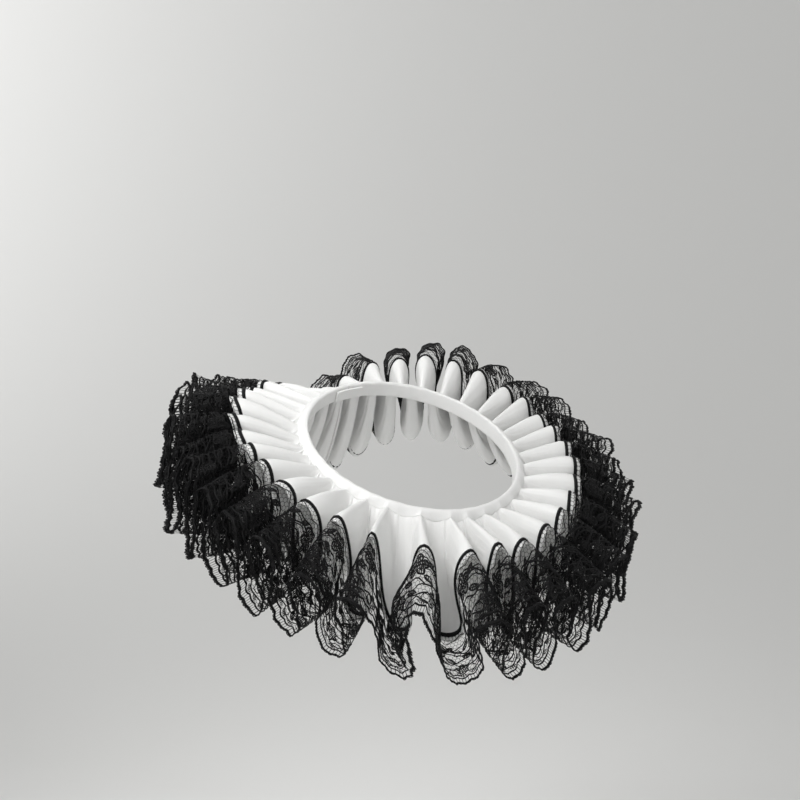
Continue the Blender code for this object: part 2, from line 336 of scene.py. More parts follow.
Pleat = namedtuple("Pleat", "crest rise drop lean swing fall")
PLEATS = [Pleat(*row) for row in (
    (-175.6, 9.0, 45.0, 0.0, 0.5, 7.0),
    (-166.2, 10.0, 47.0, 1.5, -0.5, 7.5),
    (-157.2, 9.0, 46.0, -1.0, 1.0, 9.5),
    (-148.3, 6.0, 44.0, 1.0, -1.0, 6.0),
    (-139.0, 7.0, 46.0, -1.5, 0.5, 9.5),
    (-128.3, 8.0, 48.0, 0.5, -0.5, 8.0),
    (-118.0, 8.0, 46.0, -1.0, 1.0, 6.5),
    (-109.8, 7.0, 47.0, 1.0, -1.0, 10.0),
    (-102.1, 8.0, 46.0, -0.5, 0.5, 6.5),
    (-93.6, 8.0, 47.0, 1.0, 0.5, 8.0),
    (-83.0, 8.0, 46.0, -1.0, 1.5, 9.0),
    (-73.2, 7.0, 47.0, -1.5, -0.5, 7.0),
    (-62.4, 6.0, 48.0, -1.0, 0.0, 12.5),
    (-52.0, 4.0, 49.0, -2.0, 2.6, 13.5),
    (-36.0, 3.0, 49.0, -3.5, -0.5, 9.0),
    (-20.8, 3.0, 48.0, 0.5, 0.5, 12.0),
    (-12.0, 5.0, 46.0, 1.5, -1.0, 7.0),
    (-1.6, 5.0, 43.0, -0.5, 0.5, 9.0),
    (9.6, 6.0, 41.0, 1.0, -1.0, 8.5),
    (21.0, 7.0, 38.0, -1.0, 1.0, 6.5),
    (32.2, 8.0, 37.0, 0.5, -0.5, 10.0),
    (43.8, 8.0, 36.0, 1.5, 0.5, 7.0),
    (54.6, 8.0, 38.0, -1.0, 1.0, 8.0),
    (64.2, 7.0, 40.0, 0.5, -1.0, 9.5),
    (73.8, 7.0, 42.0, -1.5, 0.5, 6.0),
    (83.0, 6.0, 44.0, 0.5, -0.5, 9.5),
    (92.2, 7.0, 46.0, 1.0, 1.0, 8.0),
    (102.1, 6.0, 47.0, -1.0, 0.5, 7.0),
    (112.9, 7.0, 45.0, 0.5, -1.0, 10.0),
    (123.8, 6.0, 47.0, 1.5, 0.5, 6.5),
    (134.6, 7.0, 46.0, -0.5, 1.0, 8.5),
    (145.4, 6.0, 45.0, -1.5, -0.5, 9.0),
    (156.0, 7.0, 47.0, 1.0, 0.5, 6.0),
    (166.0, 5.0, 46.0, 0.5, -0.5, 10.0),
    (175.6, 6.0, 45.0, 0.0, 0.0, 7.0),
)]
PLEAT_COUNT = len(PLEATS)
CREST, RISE, DROP, LEAN, SWING, FALL = np.array(PLEATS).T
VALLEY = np.concatenate([[-180.0 + BACK_OPENING], 0.5 * (CREST[:-1] + CREST[1:]),
                         [180.0 - BACK_OPENING]])
RING_ANGLES = np.sort(np.concatenate([CREST, VALLEY]))
VALLEY_DROP = np.concatenate([DROP[:1], DROP])
VALLEY_SWING = np.concatenate([[0.0], SWING])
print("pleats:", PLEAT_COUNT, "narrowest", round(float(np.diff(CREST).min()), 1), "degrees")

# %% Points of the ruffle
STRIP_STEP = 0.002                # in pleats, on each side of a point, to find its normal
REACH_STEP = 0.2
COS_TILT = math.cos(math.radians(RING_TILT))
SIN_TILT = math.sin(math.radians(RING_TILT))


def ring_to_world(radius, around, height):
    """Ring coordinates, radius, angle in radians and height over the ring, as x, y and z."""
    across = radius * np.sin(around)
    along = -radius * np.cos(around)
    return np.stack([across, along * COS_TILT - height * SIN_TILT,
                     along * SIN_TILT + height * COS_TILT], axis=-1)


def back_sag(angle, reach):
    """How far the ruffle has sunk where it lies over the back of the neck."""
    share = np.maximum(0.0, (np.abs(angle) - SAG_START) / (180.0 - SAG_START)) ** SAG_POWER
    return BACK_SAG * share * np.sin(0.5 * math.pi * reach / (SATIN_REACH + LACE_REACH))


def near(value, middle, width):
    """A share that is 1 where the value is at the middle and fades out on both sides."""
    return np.exp(-((value - middle) / width) ** 2)


def opened(reach):
    """How far the pleats have opened at a distance from the neckband, 0 to 1."""
    share = np.sin(0.5 * math.pi * np.clip(reach / FULL_DEPTH_REACH, 0.0, 1.0))
    return share * (1.0 - near(reach, 0.0, PLEAT_START))


def crest_sharpness(crest, reach, beyond_seam):
    """How much narrower a crest is than its valleys, where 1 makes them equal."""
    at_band = CREST_SHARPNESS + RIDGE_SHARPNESS * near(crest, *RIDGES)
    narrow = FRONT_NARROW * near(crest, *FRONT)
    pinch = FRONT_PINCH * near(crest, *PINCHED)
    panel = PANEL_SHARE * near(crest, *PANELS) * (1.0 - beyond_seam)
    return (1.0 - panel) * (1.0 + at_band * near(reach, 0.0, SHARP_REACH)
                            + narrow * (1.0 - beyond_seam) + pinch * beyond_seam)


def ruffle_point(strip, reach):
    """Points of the ruffle's middle surface, in millimetres."""
    index = np.clip(strip.astype(int), 0, PLEAT_COUNT - 1)
    turn = math.tau * (strip - index) - math.pi
    valley = index + (turn > 0.0)
    crest = CREST[index]
    half_width = np.abs(VALLEY[valley] - crest)
    depth = opened(reach)
    beyond_seam = (np.maximum(0.0, reach - SATIN_REACH) / LACE_REACH) ** 2
    mid_lace = np.sin(math.pi * np.clip((reach - SATIN_REACH) / LACE_REACH, 0.0, 1.0))
    pinch = near(crest, *PINCHED)
    crest_share = (0.5 + 0.5 * np.cos(turn)) ** crest_sharpness(crest, reach, beyond_seam)
    angle = crest + half_width * turn / math.pi
    roll = ROLL * (1.0 - FRONT_LESS_ROLL * near(crest, *FRONT))
    roll *= 1.0 - FRONT_UNROLL * pinch * beyond_seam
    opening = near(crest, *OPENED) * (turn > 0.0)
    roll *= 1.0 - OPEN_UNROLL * opening * (1.0 - beyond_seam)
    crest_share = crest_share ** (1.0 + OPEN_NARROW * opening * depth)
    valley_share = 1.0 - crest_share
    angle += 2.0 * roll * half_width * depth * np.sin(2.0 * turn)
    angle += (LEAN[index] * crest_share + VALLEY_SWING[valley] * valley_share) * beyond_seam
    angle -= FRONT_BILLOW * pinch * mid_lace * np.sin(turn) ** 2 * (turn < 0.0)
    around = np.radians(angle)
    radius = RUFFLE_START + reach * (1.0 - SIDE_SPREAD * np.sin(around))
    radius -= VALLEY_PULL * depth * valley_share
    shoulder = near(angle, *SHOULDER)
    radius += (SHOULDER_PUSH - SHOULDER_CURL * crest_share ** 2) * shoulder * beyond_seam

    bulge = CREST_BULGE * np.sin(0.5 * math.pi * np.clip(reach / SATIN_REACH, 0.0, 2.0)) ** 2
    lift = SHOULDER_LIFT * shoulder + BACK_LIFT * near(angle, *BACK)
    crest_height = RISE[index] * depth + bulge + (lift - FALL[index]) * beyond_seam
    rounding = LOBE_DROP * (near(np.abs(turn), math.pi, LOBE_WIDTH) - LOBE_MIDDLE) * depth ** 3
    valley_height = VALLEY_LIFT * beyond_seam - VALLEY_DROP[valley] * depth - rounding
    tuck = TUCK_HEIGHT * (1.0 - depth) * np.cos(turn)
    tuck *= TUCK_LEAST + (1.0 - TUCK_LEAST) * near(crest, *RIDGES)
    point = ring_to_world(radius, around, tuck)
    point[..., 2] += crest_share * crest_height + valley_share * valley_height
    point[..., 2] -= back_sag(angle, reach)
    return point


def ruffle_normal(strip, reach):
    """Directions square to the ruffle's surface, on its upper side."""
    before = np.clip(strip - STRIP_STEP, 0.0, PLEAT_COUNT)
    after = np.clip(strip + STRIP_STEP, 0.0, PLEAT_COUNT)
    along = ruffle_point(after, reach) - ruffle_point(before, reach)
    outward = ruffle_point(strip, reach + REACH_STEP) - ruffle_point(strip, reach - REACH_STEP)
    normal = np.cross(outward, along)
    return normal / np.linalg.norm(normal, axis=-1, keepdims=True)


# %% [markdown]
# ## Small folds
#
# Cloth that is taken in this tightly never lies in clean flutes. Smaller folds run out from
# the seam, cross each other and fade. Waves with slowly wandering phases give them. All that
# is made of lace shares this relief, so the threads stay on their net, and the satin shares
# the part of it that lies at the seam. The lace is also let out and taken in along its edge,
# where it is full at the sides, and there the edge is drawn up into a small frill.

# %% Relief of the small folds
Wave = namedtuple("Wave", "in_pleat wander pace height")
FOLDS = Wave(8.7, 2.6, 3.1, 0.7)
FINE_FOLDS = Wave(15.4, 3.0, 4.7, 0.3)
EDGE_FOLDS = Wave(4.6, 2.4, 2.3, 0.35)
FRILLS = Wave(9.3, 2.0, 3.7, 0.8)
KINKS = Wave(3.1, 2.2, 1.9, 0.7)
FLARES = Wave(2.3, 2.5, 2.3, 2.4)
KINK_SPREAD = 9.0                 # on each side of the seam
FOLDS_FULL = 14.0                 # how far from the seam the folds have their whole height
FOLDS_RISE = 0.8
FOLD_SLANT = 0.05
SLANT_PACE = 2.7
FINE_SLANT = 1.6
FOLD_STRENGTH = 0.65
STRENGTH_RIPPLES = ((0.35, 5.3, 0.9),)          # rows of height, pace and start
FLARE_RIPPLES = ((0.6, 4.1, 1.0),)
SEAM_RIPPLES = ((1.0, 5.1, 0.0), (0.7, 12.7, 1.3))
EDGE_FOLD_RISE = 2.5
FRILL_RISE = 6
SEAM_WANDER = 1.1
SEAM_SPREAD = 11.0
SEAM_LEAST = 0.3


def along_strip(strip, wave, shift=0.0):
    """A wave of height 1 along the strip, whose phase wanders slowly."""
    return np.sin(math.tau * wave.in_pleat * strip + wave.wander * np.sin(strip * wave.pace)
                  + shift)


def ripples(strip, rows):
    """The sum of some slow waves along the strip."""
    return sum(height * np.sin(pace * strip + start) for height, pace, start in rows)


def towards_side(strip):
    """A share that is 0 at the foremost crest and behind, and 1 halfway round between them."""
    around = np.interp(strip, 0.5 * np.arange(len(RING_ANGLES)), RING_ANGLES)
    return np.sin(np.radians(around - FRONT_CREST)) ** 2


def towards_edge(reach):
    """A share that is 0 at the seam and 1 at the end of the lace."""
    return np.clip((reach - SATIN_REACH) / LACE_REACH, 0.0, 1.0)


def seam_kink(strip, reach):
    """The unevenness that satin and lace share at their seam."""
    return KINKS.height * along_strip(strip, KINKS) * near(reach, SATIN_REACH, KINK_SPREAD)


def lace_relief(strip, reach):
    """Height of the lace's small folds over its plain flutes, in millimetres."""
    out = np.clip((reach - SATIN_REACH) / FOLDS_FULL, 0.0, 1.0) ** FOLDS_RISE
    strength = FOLD_STRENGTH + ripples(strip, STRENGTH_RIPPLES)
    slant = FOLD_SLANT * (reach - SATIN_REACH) * np.sin(strip * SLANT_PACE)
    small = FOLDS.height * strength * along_strip(strip, FOLDS, slant)
    small += FINE_FOLDS.height * along_strip(strip, FINE_FOLDS, -FINE_SLANT * slant)
    share = towards_edge(reach)
    at_edge = EDGE_FOLDS.height * share ** EDGE_FOLD_RISE * along_strip(strip, EDGE_FOLDS)
    at_edge += (FRILLS.height * towards_side(strip) * share ** FRILL_RISE
                * along_strip(strip, FRILLS))
    return out * small + at_edge + seam_kink(strip, reach)


# %% [markdown]
# ## From a flat strip to the ruffle
#
# A pattern that is charted in millimetres has to keep its size on the folded cloth. So the
# strip is measured along its folds first, and that table turns a length along the straight
# strip into a number of pleats. Then one function lifts any flat piece, the satin, the net or
# a thread, on to the ruffle: x is the length along the strip, y the reach, z the height over
# the cloth.

# %% Measuring the strip and gathering it
def measured_strip(reach, steps_in_pleat=160):
    """Places along the strip in pleats, and the cloth's length up to each, at one reach."""
    places = np.linspace(0.0, PLEAT_COUNT, PLEAT_COUNT * steps_in_pleat + 1)
    points = ruffle_point(places, np.full_like(places, reach))
    pieces = np.linalg.norm(np.diff(points, axis=0), axis=1)
    return places, np.concatenate([[0.0], np.cumsum(pieces)])


def keep_cloth_place(piece, points):
    """Store each vertex's place on the flat cloth, in millimetres, for the materials."""
    layer = piece.data.attributes.new("cloth", "FLOAT_VECTOR", "POINT")
    layer.data.foreach_set("vector", points.astype(np.float32).ravel())


def flared(strip, reach):
    """A reach let out and taken in along the seam and the edge, most at the sides."""
    at_side = towards_side(strip)
    wave = along_strip(strip, FLARES) + ripples(strip, FLARE_RIPPLES)
    seam = SEAM_WANDER * near(reach, SATIN_REACH, SEAM_SPREAD)
    return (reach + FLARES.height * at_side * towards_edge(reach) ** 2 * wave
            + seam * (SEAM_LEAST + at_side) * ripples(strip, SEAM_RIPPLES))


def gather(piece, measure, relief=None):
    """Move a flat piece, in millimetres, on to the folded ruffle, in metres."""
    points = flat_points(piece)
    keep_cloth_place(piece, points)
    places, lengths = measure
    strip = np.interp(points[:, 0], lengths, places)
    points[:, 1] = flared(strip, points[:, 1])
    height = points[:, 2]
    if relief is not None:
        height = height + relief(strip, points[:, 1])
    lifted = ruffle_point(strip, points[:, 1])
    lifted += ruffle_normal(strip, points[:, 1]) * height[:, None]
    move_points(piece, lifted * MILLIMETRE)
    piece.data.update()
    piece.data.shade_smooth()


def flat_strip(name, length, near, far, columns, rows):
    """A flat grid of cloth, in millimetres: x along the strip, y from near to far."""
    bpy.ops.mesh.primitive_grid_add(x_subdivisions=columns, y_subdivisions=rows, size=1.0)
    piece = bpy.context.object
    piece.name = name
    points = flat_points(piece)
    points[:, 0] = (points[:, 0] + 0.5) * length
    points[:, 1] = near + (points[:, 1] + 0.5) * (far - near)
    move_points(piece, points)
    return piece


MEASURED_SATIN = 0.55             # where its length is measured, as a share of its reach
MEASURED_LACE = 0.5
SATIN_MEASURE = measured_strip(MEASURED_SATIN * SATIN_REACH)
LACE_MEASURE = measured_strip(SATIN_REACH + MEASURED_LACE * LACE_REACH)
SATIN_LENGTH = SATIN_MEASURE[1][-1]
LACE_LENGTH = LACE_MEASURE[1][-1]
print("strip lengths in mm: satin", round(SATIN_LENGTH), "lace", round(LACE_LENGTH))

# %% [markdown]
# ## Satin ruffle
#
# Satin is woven so that long threads lie on top, which makes it smooth, bright along a fold
# and grey in a valley. Close to the band each pleat is a sharp little ridge with smaller
# tucks beside it, and these fade out before the lace begins. They are added as a low relief
# on the flat strip. Its hem runs on for a few millimetres under the lace, where it shows
# white through the net. The strip gets its thickness with a Solidify modifier.

# %% Satin shape
SATIN_WALL = 0.5
HEM_UNDER_LACE = 4.0
HEM_DEPTH = 0.7                   # how far under the lace the hem lies
SATIN_COLUMNS = PLEAT_COUNT * 66
SATIN_ROWS = 18
RIDGE_HEIGHT = 1.3
RIDGE_WIDTH = 9.0                 # degrees of a pleat's turn
RIDGE_LEAST = 0.1                 # share of its height far from the front
RIDGE_START = 4.0                 # how far under the band it begins
TUCK_RELIEF = 0.25
TUCKS_IN_PLEAT = 3.0
TUCK_WANDER = 50.0
TUCK_REACH = 15.0
TUCK_RISE = 6.0
HEM_SLOPE = 1.5
CREASE_WIDTH = 7.0
Crease = namedtuple("Crease", "height turn wander pace start slant reach spread")
CREASES = (
    Crease(0.95, 105.0, 22.0, 2.4, 0.7, 0.0, 14.0, 16.0),
    Crease(0.9, -88.0, 25.0, 1.7, 0.0, 1.2, 13.0, 15.0),
)


def satin_relief(strip, reach):
    """Height of the satin's ridges and tucks over its plain folds, in millimetres."""
    index = np.clip(strip.astype(int), 0, PLEAT_COUNT - 1)
    turn = 360.0 * (strip - index) - 180.0
    wander = [np.sin(index * crease.pace + crease.start) for crease in CREASES]
    ridge = RIDGE_HEIGHT * near(turn, 0.0, RIDGE_WIDTH)
    ridge *= np.sin(math.pi * np.clip((reach + RIDGE_START) / (SATIN_REACH + RIDGE_START),
                                      0.0, 1.0))
    in_front = near(CREST[index], *RIDGES)
    ridge *= RIDGE_LEAST + (1.0 - RIDGE_LEAST) * in_front
    tucks = TUCK_RELIEF * near(reach, 0.0, TUCK_REACH)
    tucks = tucks * np.cos(np.radians(turn * TUCKS_IN_PLEAT + TUCK_WANDER * wander[0]))
    relief = ridge + tucks * np.clip(reach / TUCK_RISE, 0.0, 1.0)
    for crease, sway in zip(CREASES, wander):
        off = turn - crease.turn - crease.wander * sway + crease.slant * reach
        relief = relief + (crease.height * near(off, 0.0, CREASE_WIDTH)
                           * near(reach, crease.reach, crease.spread))
    hem = HEM_DEPTH * np.clip((reach - SATIN_REACH + HEM_SLOPE) / HEM_SLOPE, 0.0, 1.0)
    return relief + seam_kink(strip, reach) - hem


satin = flat_strip("satin_cloth", SATIN_LENGTH, 0.0, SATIN_REACH + HEM_UNDER_LACE,
                   SATIN_COLUMNS, SATIN_ROWS)
gather(satin, SATIN_MEASURE, satin_relief)
solidify = satin.modifiers.new("cloth wall", "SOLIDIFY")
solidify.thickness = SATIN_WALL * MILLIMETRE
solidify.offset = 0.0
bpy.ops.object.modifier_apply(modifier=solidify.name)
print("satin faces:", len(satin.data.polygons))

# %% [markdown]
# ## Satin finish
#
# The real cloth is white polyester satin. To the eye that means a clean neutral white, a
# soft wide sheen, and no visible weave from a step away. The weave is still there as the
# faintest bump: its real threads are 0.1 mm apart, so they are drawn at 0.4 mm to leave any
# trace at all. Gathered cloth also shows fine drag lines, which run together at the band and
# fade outwards.

# %% Satin material
COCKLE_HEIGHT = 12.0              # in heights of the weave, like the next two
DRAG_AT_BAND = 42.0
DRAG_AT_SEAM = 24.0
DRAG_LINES_IN_MILLIMETRE = (0.22, 0.012, 0.0)   # along the strip and outwards
satin_finish, tree, shader = new_finish("white polyester satin")
place = add_node(tree, "ShaderNodeAttribute", attribute_name="cloth").outputs["Vector"]
wide_clouds = add_node(tree, "ShaderNodeTexNoise",
                       {"Vector": place, "Scale": 0.05, "Detail": 3.0})
# The Mix node holds a socket of each kind, so the colour ones are set by their place.
tint = add_node(tree, "ShaderNodeMix",
                {"Factor": wide_clouds.outputs["Fac"], 6: linear("#EEEEED"),
                 7: linear("#F8F8F7")}, data_type="RGBA")
weave = add_node(tree, "ShaderNodeTexWave",
                 {"Vector": place, "Scale": 0.8, "Distortion": 0.6}, bands_direction="X")
cockle = add_node(tree, "ShaderNodeTexNoise", {"Vector": place, "Scale": 0.16, "Detail": 2.0})
cloth_height = add_node(tree, "ShaderNodeMath",
                        {0: cockle.outputs["Fac"], 1: COCKLE_HEIGHT, 2: weave.outputs["Fac"]},
                        operation="MULTIPLY_ADD")
drag_place = add_node(tree, "ShaderNodeVectorMath", {0: place, 1: DRAG_LINES_IN_MILLIMETRE},
                      operation="MULTIPLY")
drag_lines = add_node(tree, "ShaderNodeTexNoise",
                      {"Vector": drag_place.outputs[0], "Scale": 1.0, "Detail": 2.0})
flat_place = add_node(tree, "ShaderNodeSeparateXYZ", {0: place})
drag_height = add_node(tree, "ShaderNodeMapRange",
                       {"Value": flat_place.outputs["Y"], "From Max": SATIN_REACH,
                        "To Min": DRAG_AT_BAND, "To Max": DRAG_AT_SEAM})
height = add_node(tree, "ShaderNodeMath",
                  {0: drag_lines.outputs["Fac"], 1: drag_height.outputs["Result"],
                   2: cloth_height.outputs[0]}, operation="MULTIPLY_ADD")
bump = add_node(tree, "ShaderNodeBump",
                {"Height": height.outputs[0], "Strength": 0.25, "Distance": 0.00012})
set_inputs(shader, {"Base Color": tint.outputs[2], "Normal": bump.outputs["Normal"],
                    "Roughness": 0.36, "Specular IOR Level": 0.5, "Sheen Weight": 0.12,
                    "Sheen Roughness": 0.35})
dress(satin, satin_finish)
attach(satin, "root")
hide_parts("satin_ruffle")
print("satin finish:", len(tree.nodes), "nodes")

# %% [markdown]
# ## Neckband
#
# The band is a straight strip of the same satin, folded over and closed round the neck. Its
# top edge is rolled and its outer side shows as a smooth rim about 5 mm wide. A curve that
# follows the ring is swept with a small rounded outline, which is how a maker's folded band
# looks when it is cut through. Then the rim is puckered a little where each pleat pulls on it.

# %% Neckband shape
RING_STEPS = 700
LIP_START = 67.6                  # where the lip leaves the band's wall
BAND_OUTLINE = (                  # radius, and height over the ring
    (65.5, -6.0), (65.1, -5.6), (65.0, -4.8), (65.0, 2.6), (65.15, 3.3), (65.6, 3.8),
    (66.3, 4.0), (67.1, 3.85), (68.0, 3.4), (69.0, 2.75), (70.0, 2.1), (70.7, 1.6),
    (71.0, 1.25), (70.95, 0.95), (70.6, 0.85), (69.8, 1.2), (68.6, 1.9), (67.9, 2.1),
    (67.6, 1.7), (67.6, -4.8), (67.5, -5.6), (67.1, -6.0),
)
outline_curve, outline_object = new_curve("band_outline", "2D")
add_line(outline_curve, [((radius - NECK_RADIUS) * MILLIMETRE, height * MILLIMETRE)
                         for radius, height in BAND_OUTLINE], closed=True)
path, band = new_curve("satin_band")
path.bevel_mode = "OBJECT"
path.bevel_object = outline_object
path.use_fill_caps = True
turns = [math.radians(-180.0 + BACK_OPENING
                      + (360.0 - 2.0 * BACK_OPENING) * step / RING_STEPS)
         for step in range(RING_STEPS + 1)]
add_line(path, [(NECK_RADIUS * math.sin(around) * MILLIMETRE,
                 -NECK_RADIUS * math.cos(around) * MILLIMETRE) for around in turns])
band = as_mesh(band)
bpy.data.objects.remove(outline_object)

# %% Puckers, lean and finish of the neckband
LIP_WIDTH = 3.4
LIP_BEND = 1.2
LIP_REACH = 2.4                   # where the ruffle is felt under the lip
LIP_FOLLOWS = 0.8                 # how much of the ruffle's ridges shows on it
LIP_SINKS = 0.6
PUCKER = 0.15
PUCKERS_IN_PLEAT = 1.1
PUCKER_START = -1.0               # height over the ring where they begin
PUCKER_RISE = 4.0
points = flat_points(band) / MILLIMETRE
radius = np.hypot(points[:, 0], points[:, 1])
around = np.arctan2(points[:, 0], -points[:, 1])
tall = points[:, 2].copy()
print("band radius from", round(float(radius.min()), 2), "to", round(float(radius.max()), 2))
keep_cloth_place(band, np.stack([radius * around, radius + tall, radius], axis=1))
strip_place = np.interp(np.degrees(around), RING_ANGLES, 0.5 * np.arange(len(RING_ANGLES)))
lip_share = np.clip((radius - LIP_START) / LIP_WIDTH, 0.0, 1.0) ** LIP_BEND
lip_reach = np.full_like(radius, LIP_REACH)
under_lip = ruffle_point(strip_place, lip_reach)
ring_height = -under_lip[:, 1] * SIN_TILT + under_lip[:, 2] * COS_TILT
pleat_relief = satin_relief(strip_place, lip_reach)
tall += lip_share * (ring_height + LIP_FOLLOWS * pleat_relief - LIP_SINKS)
top_share = np.clip((tall - PUCKER_START) / PUCKER_RISE, 0.0, 1.0)
tall += PUCKER * top_share * np.sin(math.tau * strip_place * PUCKERS_IN_PLEAT
                                    + np.sin(strip_place))
move_points(band, ring_to_world(radius, around, tall) * MILLIMETRE)
band.data.shade_smooth()
close_mesh()
dress(band, satin_finish)
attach(band, "root")
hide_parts("neckband")
dress(bpy.data.objects["back_tab"], satin_finish)
print("band faces:", len(band.data.polygons))

# %% [markdown]
# ## Lace ground
#
# Lace is a net with a pattern worked on it. The ground is a hexagonal net. Real meshes are
# about a millimetre wide, which shows only as a grey veil from here, so they are drawn two
# and a half millimetres wide, as they seem in the photo. A thread for each mesh would need
# millions of faces, so the ground is one thin sheet, and its material leaves open what lies
# between the threads. The sheet's outer side is already cut in scallops, because that edge
# shows.

# %% Lace sizes
LACE_NEAR = SATIN_REACH + 0.15
LACE_EDGE = SATIN_REACH + 40.2    # where the scallops meet
SCALLOP_HEIGHT = 0.8
SCALLOP_FULLNESS = 0.8            # under 1 the scallops are rounder
REPEAT_TARGET = 56.0              # length of one repeat of the pattern
SCALLOPS_IN_REPEAT = 8
REPEATS = round(LACE_LENGTH / REPEAT_TARGET)
REPEAT = LACE_LENGTH / REPEATS
SCALLOP = REPEAT / SCALLOPS_IN_REPEAT
NET_COLUMNS = REPEATS * SCALLOPS_IN_REPEAT * 4
NET_ROWS = 15
print("pattern repeats:", REPEATS, "of", round(REPEAT, 2), "mm")


def scalloped(along, base, height, scallops=1.0):
    """The line of the scallops, at a distance from the neckband."""
    return base + height * np.abs(np.sin(math.pi * along / SCALLOP / scallops)) ** SCALLOP_FULLNESS


# %% Lace sheet
net = flat_strip("lace_net", LACE_LENGTH, 0.0, 1.0, NET_COLUMNS, NET_ROWS)
points = flat_points(net)
far = scalloped(points[:, 0], LACE_EDGE, SCALLOP_HEIGHT)
points[:, 1] = LACE_NEAR + points[:, 1] * (far - LACE_NEAR)
move_points(net, points)
gather(net, LACE_MEASURE, lace_relief)
print("net faces:", len(net.data.polygons))

# %% [markdown]
# ## Net finish
#
# The threads are black nylon, which is dull but has a glint along a fold. The hexagons are
# worked out from the place on the flat cloth. Two grids of rectangles are laid half a step
# apart, the nearer middle of the two wins, and the distance from it to the hexagon's side
# says whether there is thread. Between the two outer lines of the border the net gives way
# to a ladder of fine bars, as the photo shows.

# %% Net material
MESH_WIDTH = 2.5                  # of one hexagon, flat to flat, in millimetres
THREAD_SHARE = 0.046              # half a thread's width, as a share of that
HALF_HEXAGON = (0.5, 0.8660254, 1.0)
NET_SOFTNESS = 0.25               # of a thread's side, as a share of half its width
LADDER_START = LACE_EDGE - 3.9
BAR_SPACING = 1.6
BAR_EDGE = (0.2, 0.12)            # distances from a bar's middle where it starts and is full


def net_alpha(tree, place, mesh_width, thread_share):
    """A socket that is 1 on the threads of a hexagonal net and 0 between them."""
    scaled = add_node(tree, "ShaderNodeVectorMath",
                      {0: place, 1: (1.0 / mesh_width,) * 2 + (0.0,)}, operation="MULTIPLY")
    shifted = add_node(tree, "ShaderNodeVectorMath",
                       {0: scaled.outputs[0], 1: HALF_HEXAGON}, operation="ADD")
    wrapped = [add_node(tree, "ShaderNodeVectorMath",
                        {0: source.outputs[0], 1: HALF_HEXAGON,
                         2: tuple(-value for value in HALF_HEXAGON)}, operation="WRAP")
               for source in (scaled, shifted)]
    flat = [add_node(tree, "ShaderNodeVectorMath", {0: grid.outputs[0], 1: (1.0, 1.0, 0.0)},
                     operation="MULTIPLY") for grid in wrapped]
    lengths = [add_node(tree, "ShaderNodeVectorMath", {0: grid.outputs[0]},
                        operation="LENGTH") for grid in flat]
    nearer = add_node(tree, "ShaderNodeMath",
                      {0: lengths[1].outputs["Value"], 1: lengths[0].outputs["Value"]},
                      operation="LESS_THAN")
    chosen = add_node(tree, "ShaderNodeMix",
                      {0: nearer.outputs[0], 4: flat[0].outputs[0], 5: flat[1].outputs[0]},
                      data_type="VECTOR")
    folded = add_node(tree, "ShaderNodeVectorMath", {0: chosen.outputs[1]},
                      operation="ABSOLUTE")
    slanted = add_node(tree, "ShaderNodeVectorMath",
                       {0: folded.outputs[0], 1: HALF_HEXAGON[:2] + (0.0,)},
                       operation="DOT_PRODUCT")
    straight = add_node(tree, "ShaderNodeSeparateXYZ", {0: folded.outputs[0]})
    outwards = add_node(tree, "ShaderNodeMath",
                        {0: slanted.outputs["Value"], 1: straight.outputs["X"]},
                        operation="MAXIMUM")
    return add_node(tree, "ShaderNodeMapRange",
                    {"Value": outwards.outputs[0],
                     "From Min": 0.5 - (1.0 + NET_SOFTNESS) * thread_share,
                     "From Max": 0.5 - (1.0 - NET_SOFTNESS) * thread_share}).outputs["Result"]


def nylon(shader):
    """Set a shader to black nylon thread."""
    set_inputs(shader, {"Base Color": linear("#070708"), "Roughness": 0.55,
                        "Specular IOR Level": 0.22, "Sheen Weight": 0.05,
                        "Sheen Roughness": 0.4, "Sheen Tint": linear("#80828C")})


net_finish, tree, shader = new_finish("black nylon net")
nylon(shader)
place = add_node(tree, "ShaderNodeAttribute", attribute_name="cloth").outputs["Vector"]
hexagons = net_alpha(tree, place, MESH_WIDTH, THREAD_SHARE)
flat_place = add_node(tree, "ShaderNodeSeparateXYZ", {0: place})
to_bar = add_node(tree, "ShaderNodeMath", {0: flat_place.outputs["X"], 1: 0.5 * BAR_SPACING},
                  operation="PINGPONG")
bars = add_node(tree, "ShaderNodeMapRange",
                {"Value": to_bar.outputs[0], "From Min": BAR_EDGE[0],
                 "From Max": BAR_EDGE[1]})
in_ladder = add_node(tree, "ShaderNodeMath", {0: flat_place.outputs["Y"], 1: LADDER_START},
                     operation="GREATER_THAN")
alpha = add_node(tree, "ShaderNodeMix", {0: in_ladder.outputs[0], 2: hexagons,
                                         3: bars.outputs["Result"]})
set_inputs(shader, {"Alpha": alpha.outputs[0]})
dress(net, net_finish)
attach(net, "root")
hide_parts("lace_edging")
print("net finish:", len(tree.nodes), "nodes")

# %% [markdown]
# ## The chart of the pattern
#
# Heavier threads draw the pattern, and clothwork, a dense weave, fills its petals and leaves.
# The chart is for one repeat, flat, with ordinary flowers, leaves and a waving stem of its
# own design, then the scalloped lines of the border. Lengths along the repeat are shares of
# it, and reaches are counted in millimetres from the lace's seam.

